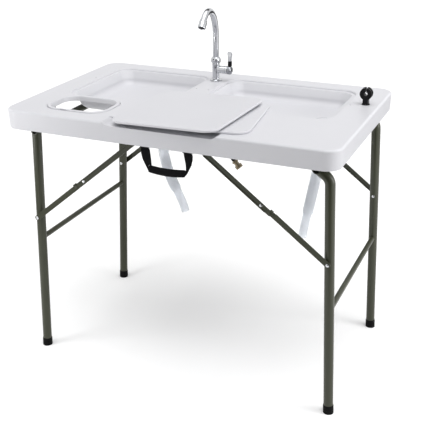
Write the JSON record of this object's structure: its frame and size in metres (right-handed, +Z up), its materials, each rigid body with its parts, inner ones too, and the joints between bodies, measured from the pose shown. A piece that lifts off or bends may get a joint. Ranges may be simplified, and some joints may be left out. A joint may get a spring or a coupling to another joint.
{
  "type": "folding fish cleaning table",
  "caption": "Portable camp table with moulded sink basins, scrap hole, gooseneck faucet, loose lids, drain hoses and folding braced leg frames.",
  "frame": {"origin": "on the floor under the middle of the unfolded table, hoses not counted", "axes": "+X along the long side towards the sprayer clip, -Y towards the front edge with the handle, +Z up"},
  "size_m": [1.011, 0.6632, 1.0532],
  "materials": {
    "white_plastic": "blow-moulded satin white",
    "milky_hose": "milky flexible vinyl",
    "olive_paint": "olive powder coat",
    "zinc": "bright zinc plate",
    "chrome": "polished chrome",
    "brass": "machined brass",
    "black_plastic": "moulded satin black",
    "black_rubber": "matt rubber",
    "black_webbing": "woven nylon webbing and padded sleeve"
  },
  "bodies": {
    "top_assembly": {"table_top": "white_plastic", "left_drain_strainer": "white_plastic", "left_drain_nut": "white_plastic", "left_drain_hose": "milky_hose", "right_drain_strainer": "white_plastic", "right_drain_nut": "white_plastic", "right_drain_hose": "milky_hose", "faucet_flange": "chrome", "faucet_body": "chrome", "spout_collar_nut": "chrome", "faucet_mounting_nut": "black_plastic", "supply_nut": "brass", "supply_hose": "black_rubber", "hose_coupling": "brass", "sprayer_clip": "black_plastic", "left_handle_anchor": "zinc", "right_handle_anchor": "zinc", "left_front_pivot_clamp": "zinc", "left_front_brace_bracket": "zinc", "left_rear_pivot_clamp": "zinc", "left_rear_brace_bracket": "zinc", "right_front_pivot_clamp": "zinc", "right_front_brace_bracket": "zinc", "right_rear_pivot_clamp": "zinc", "right_rear_brace_bracket": "zinc"},
    "scrap_ring_body": {"scrap_ring": "white_plastic"},
    "cutting_board_body": {"cutting_board": "white_plastic"},
    "basin_lid_body": {"basin_lid": "white_plastic"},
    "spout_body": {"faucet_spout": "chrome", "spout_aerator": "chrome"},
    "lever_body": {"valve_hub": "chrome", "lever_band": "black_plastic", "faucet_lever": "chrome"},
    "handle_body": {"handle_webbing": "black_webbing", "handle_grip": "black_webbing"},
    "swivel_body": {"coupling_swivel_ring": "brass"},
    "left_leg_frame": {"left_pivot_tube": "olive_paint", "left_crossbar": "olive_paint", "left_front_leg": "olive_paint", "left_front_foot": "black_rubber", "left_rear_leg": "olive_paint", "left_rear_foot": "black_rubber"},
    "left_upper_braces": {"left_front_upper_brace_link": "olive_paint", "left_front_knee_rivet": "zinc", "left_rear_upper_brace_link": "olive_paint", "left_rear_knee_rivet": "zinc"},
    "left_lower_braces": {"left_front_lower_brace_link": "olive_paint", "left_rear_lower_brace_link": "olive_paint"},
    "right_leg_frame": {"right_pivot_tube": "olive_paint", "right_crossbar": "olive_paint", "right_front_leg": "olive_paint", "right_front_foot": "black_rubber", "right_rear_leg": "olive_paint", "right_rear_foot": "black_rubber"},
    "right_upper_braces": {"right_front_upper_brace_link": "olive_paint", "right_front_knee_rivet": "zinc", "right_rear_upper_brace_link": "olive_paint", "right_rear_knee_rivet": "zinc"},
    "right_lower_braces": {"right_front_lower_brace_link": "olive_paint", "right_rear_lower_brace_link": "olive_paint"}
  },
  "joints": [
    {"name": "left_leg_fold", "type": "hinge", "parent": "top_assembly", "child": "left_leg_frame", "pos_m": [-0.43453, 0.0086, 0.742], "axis": [0, -1, 0], "range_deg": [0, 92.55], "deforming": ["left_drain_hose"]},
    {"name": "left_upper_brace_fold", "type": "hinge", "parent": "top_assembly", "child": "left_upper_braces", "pos_m": [-0.09353, 0.0086, 0.757], "axis": [0, -1, 0], "range_deg": [-40.41, 0]},
    {"name": "left_lower_brace_fold", "type": "hinge", "parent": "left_leg_frame", "child": "left_lower_braces", "pos_m": [-0.44685, 0.0086, 0.46527], "axis": [0, -1, 0], "range_deg": [0, 42.87]},
    {"name": "right_leg_fold", "type": "hinge", "parent": "top_assembly", "child": "right_leg_frame", "pos_m": [0.42347, 0.0086, 0.742], "axis": [0, 1, 0], "range_deg": [0, 92.55]},
    {"name": "right_upper_brace_fold", "type": "hinge", "parent": "top_assembly", "child": "right_upper_braces", "pos_m": [0.10647, 0.0086, 0.757], "axis": [0, 1, 0], "range_deg": [-40.59, 0]},
    {"name": "right_lower_brace_fold", "type": "hinge", "parent": "right_leg_frame", "child": "right_lower_braces", "pos_m": [0.46916, 0.0086, 0.48027], "axis": [0, 1, 0], "range_deg": [0, 32.7]},
    {"name": "board_lift", "type": "slide", "parent": "top_assembly", "child": "cutting_board_body", "axis": [0, 0, 1], "range_m": [0, 0.1]},
    {"name": "lid_lift", "type": "slide", "parent": "cutting_board_body", "child": "basin_lid_body", "axis": [0, 0, 1], "range_m": [0, 0.1]},
    {"name": "scrap_ring_lift", "type": "slide", "parent": "top_assembly", "child": "scrap_ring_body", "axis": [0, 0, 1], "range_m": [0, 0.06]},
    {"name": "spout_swivel", "type": "hinge", "parent": "top_assembly", "child": "spout_body", "pos_m": [-0.06203, 0.2246, 0.89], "axis": [0, 0, 1], "range_deg": [-120, 120]},
    {"name": "lever_turn", "type": "hinge", "parent": "top_assembly", "child": "lever_body", "pos_m": [-0.01553, 0.2246, 0.852], "axis": [1, 0, 0], "range_deg": [0, 90]},
    {"name": "handle_swing", "type": "hinge", "parent": "top_assembly", "child": "handle_body", "pos_m": [0.01447, -0.3009, 0.7554], "axis": [1, 0, 0], "range_deg": [-90, 15]},
    {"name": "coupling_swivel", "type": "hinge", "parent": "top_assembly", "child": "swivel_body", "pos_m": [0.02156, 0.2246, 0.52855], "axis": [0.6626, 0, -0.749], "continuous": true}
  ],
  "couplings": [
    {"joint": "left_upper_brace_fold", "follows": "left_leg_fold", "ratio": -0.43447},
    {"joint": "left_lower_brace_fold", "follows": "left_leg_fold", "ratio": 0.46105},
    {"joint": "right_upper_brace_fold", "follows": "right_leg_fold", "ratio": -0.43641},
    {"joint": "right_lower_brace_fold", "follows": "right_leg_fold", "ratio": 0.35116}
  ]
}
